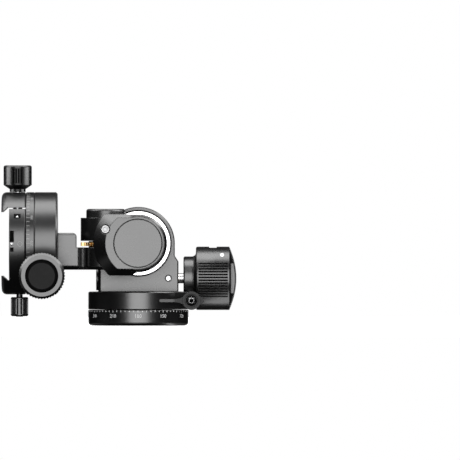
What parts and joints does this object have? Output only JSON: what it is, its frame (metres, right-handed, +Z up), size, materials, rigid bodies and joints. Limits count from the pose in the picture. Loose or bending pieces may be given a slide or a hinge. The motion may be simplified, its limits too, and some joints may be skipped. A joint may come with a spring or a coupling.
{
  "type": "geared tripod head",
  "caption": "Compact geared tripod head: panning base, worm-driven tilt and roll on offset axes, and a round graduated platform with a dovetail quick-release clamp.",
  "frame": {"origin": "centre of the tripod thread's mouth, on the flat underside of the base", "axes": "+Z up along the pan axis; the clamp points to -X at rest; +Y runs from the front face to the back"},
  "size_m": [0.1261, 0.105, 0.0861],
  "materials": {
    "black_anodised": "satin anodised",
    "black_scale": "satin anodised",
    "black_knob": "satin anodised",
    "grey_insert": "matt",
    "black_steel": "black oxide",
    "grey_lever": "satin",
    "polished_steel": "polished",
    "steel": "turned",
    "brass": "turned",
    "white_acetal": "matt"
  },
  "bodies": {
    "base": {"base_disc": "black_anodised", "tripod_bush": "steel", "pan_glide_washer": "white_acetal", "pan_retainer": "steel", "pan_retainer_screws": "steel"},
    "pan": {"pan_ring": "black_anodised", "pan_cover": "black_anodised", "bracket": "black_anodised", "bracket_screws": "steel", "tilt_bearing_ring": "polished_steel", "tilt_rear_bush": "brass", "tilt_worm_bushes": "brass", "worm_end_cover": "black_anodised", "bracket_pin": "steel"},
    "lever": {"lock_lever": "grey_lever", "lock_screw": "black_steel"},
    "tilt": {"tilt_housing": "black_anodised", "tilt_cap": "black_anodised", "tilt_axle": "steel", "tilt_wheel": "brass", "tilt_lock_nut": "steel", "roll_cap": "black_anodised", "housing_screw": "steel", "roll_worm_bushes": "brass"},
    "tilt_drive": {"tilt_worm": "steel", "tilt_shaft": "steel", "tilt_knob": "black_knob", "tilt_knob_cap": "black_knob"},
    "roll_drive": {"roll_worm": "steel", "roll_shaft": "steel", "roll_knob": "black_knob", "roll_knob_disc": "grey_insert"},
    "roll": {"roll_arm": "black_anodised", "roll_spindle": "steel", "roll_wheel": "brass", "roll_nut": "steel", "platform_body": "black_anodised", "scale_ring": "black_scale", "arm_screws": "steel", "platform_worm_bushes": "brass"},
    "platform_drive": {"platform_worm": "steel", "platform_shaft": "steel", "platform_knob": "black_knob", "platform_knob_disc": "grey_insert"},
    "turntable": {"turntable_spindle": "steel", "platform_wheel": "brass", "turntable_plate": "black_anodised", "turntable_screws": "steel"},
    "clamp": {"clamp_body": "black_anodised", "guide_pins": "steel"},
    "platform_lock": {"platform_lock_knob": "black_knob"},
    "jaw": {"sliding_jaw": "black_anodised"},
    "clamp_knob": {"clamp_knob": "black_knob", "clamp_screw": "steel"}
  },
  "joints": [
    {"name": "pan_turn", "type": "hinge", "parent": "base", "child": "pan", "pos_m": [0, 0, 0.0135], "axis": [0, 0, 1], "continuous": true},
    {"name": "lever_swing", "type": "hinge", "parent": "pan", "child": "lever", "pos_m": [0.0287, -0.0257, 0.01345], "axis": [0, 1, 0], "range_deg": [-30, 60]},
    {"name": "head_tilt", "type": "hinge", "parent": "pan", "child": "tilt", "pos_m": [0, 0, 0.04425], "axis": [0, 1, 0], "range_deg": [0, 160]},
    {"name": "tilt_knob_turn", "type": "hinge", "parent": "pan", "child": "tilt_drive", "pos_m": [0, 0.0097, 0.02535], "axis": [1, 0, 0], "range_deg": [0, 7680]},
    {"name": "roll_turn", "type": "hinge", "parent": "tilt", "child": "roll", "pos_m": [-0.0174, -0.019, 0.04425], "axis": [0, 0, 1], "range_deg": [-25, 25]},
    {"name": "roll_knob_turn", "type": "hinge", "parent": "tilt", "child": "roll_drive", "pos_m": [0, 0, 0.04425], "axis": [0, 1, 0], "range_deg": [-1075, 1075]},
    {"name": "platform_turn", "type": "hinge", "parent": "roll", "child": "turntable", "pos_m": [-0.0512, -0.019, 0.04425], "axis": [1, 0, 0], "continuous": true},
    {"name": "platform_knob_turn", "type": "hinge", "parent": "roll", "child": "platform_drive", "pos_m": [-0.0512, -0.019, 0.02685], "axis": [0, 1, 0], "continuous": true},
    {"name": "clamp_swivel", "type": "hinge", "parent": "turntable", "child": "clamp", "pos_m": [-0.06475, -0.019, 0.04425], "axis": [1, 0, 0], "continuous": true},
    {"name": "platform_lock_turn", "type": "hinge", "parent": "clamp", "child": "platform_lock", "pos_m": [-0.06375, -0.019, 0.012], "axis": [0, 0, 1], "range_deg": [-90, 180]},
    {"name": "jaw_slide", "type": "slide", "parent": "clamp", "child": "jaw", "axis": [0, 0, 1], "range_m": [-0.0006, 0.0035]},
    {"name": "clamp_knob_turn", "type": "hinge", "parent": "jaw", "child": "clamp_knob", "pos_m": [-0.06475, -0.019, 0.078], "axis": [0, 0, 1], "range_deg": [-216, 1260]}
  ],
  "couplings": [
    {"joint": "tilt_knob_turn", "follows": "head_tilt", "ratio": 48},
    {"joint": "roll_knob_turn", "follows": "roll_turn", "ratio": -43},
    {"joint": "platform_knob_turn", "follows": "platform_turn", "ratio": -43},
    {"joint": "jaw_slide", "follows": "clamp_knob_turn", "m_per_rad": 0.00015915}
  ]
}
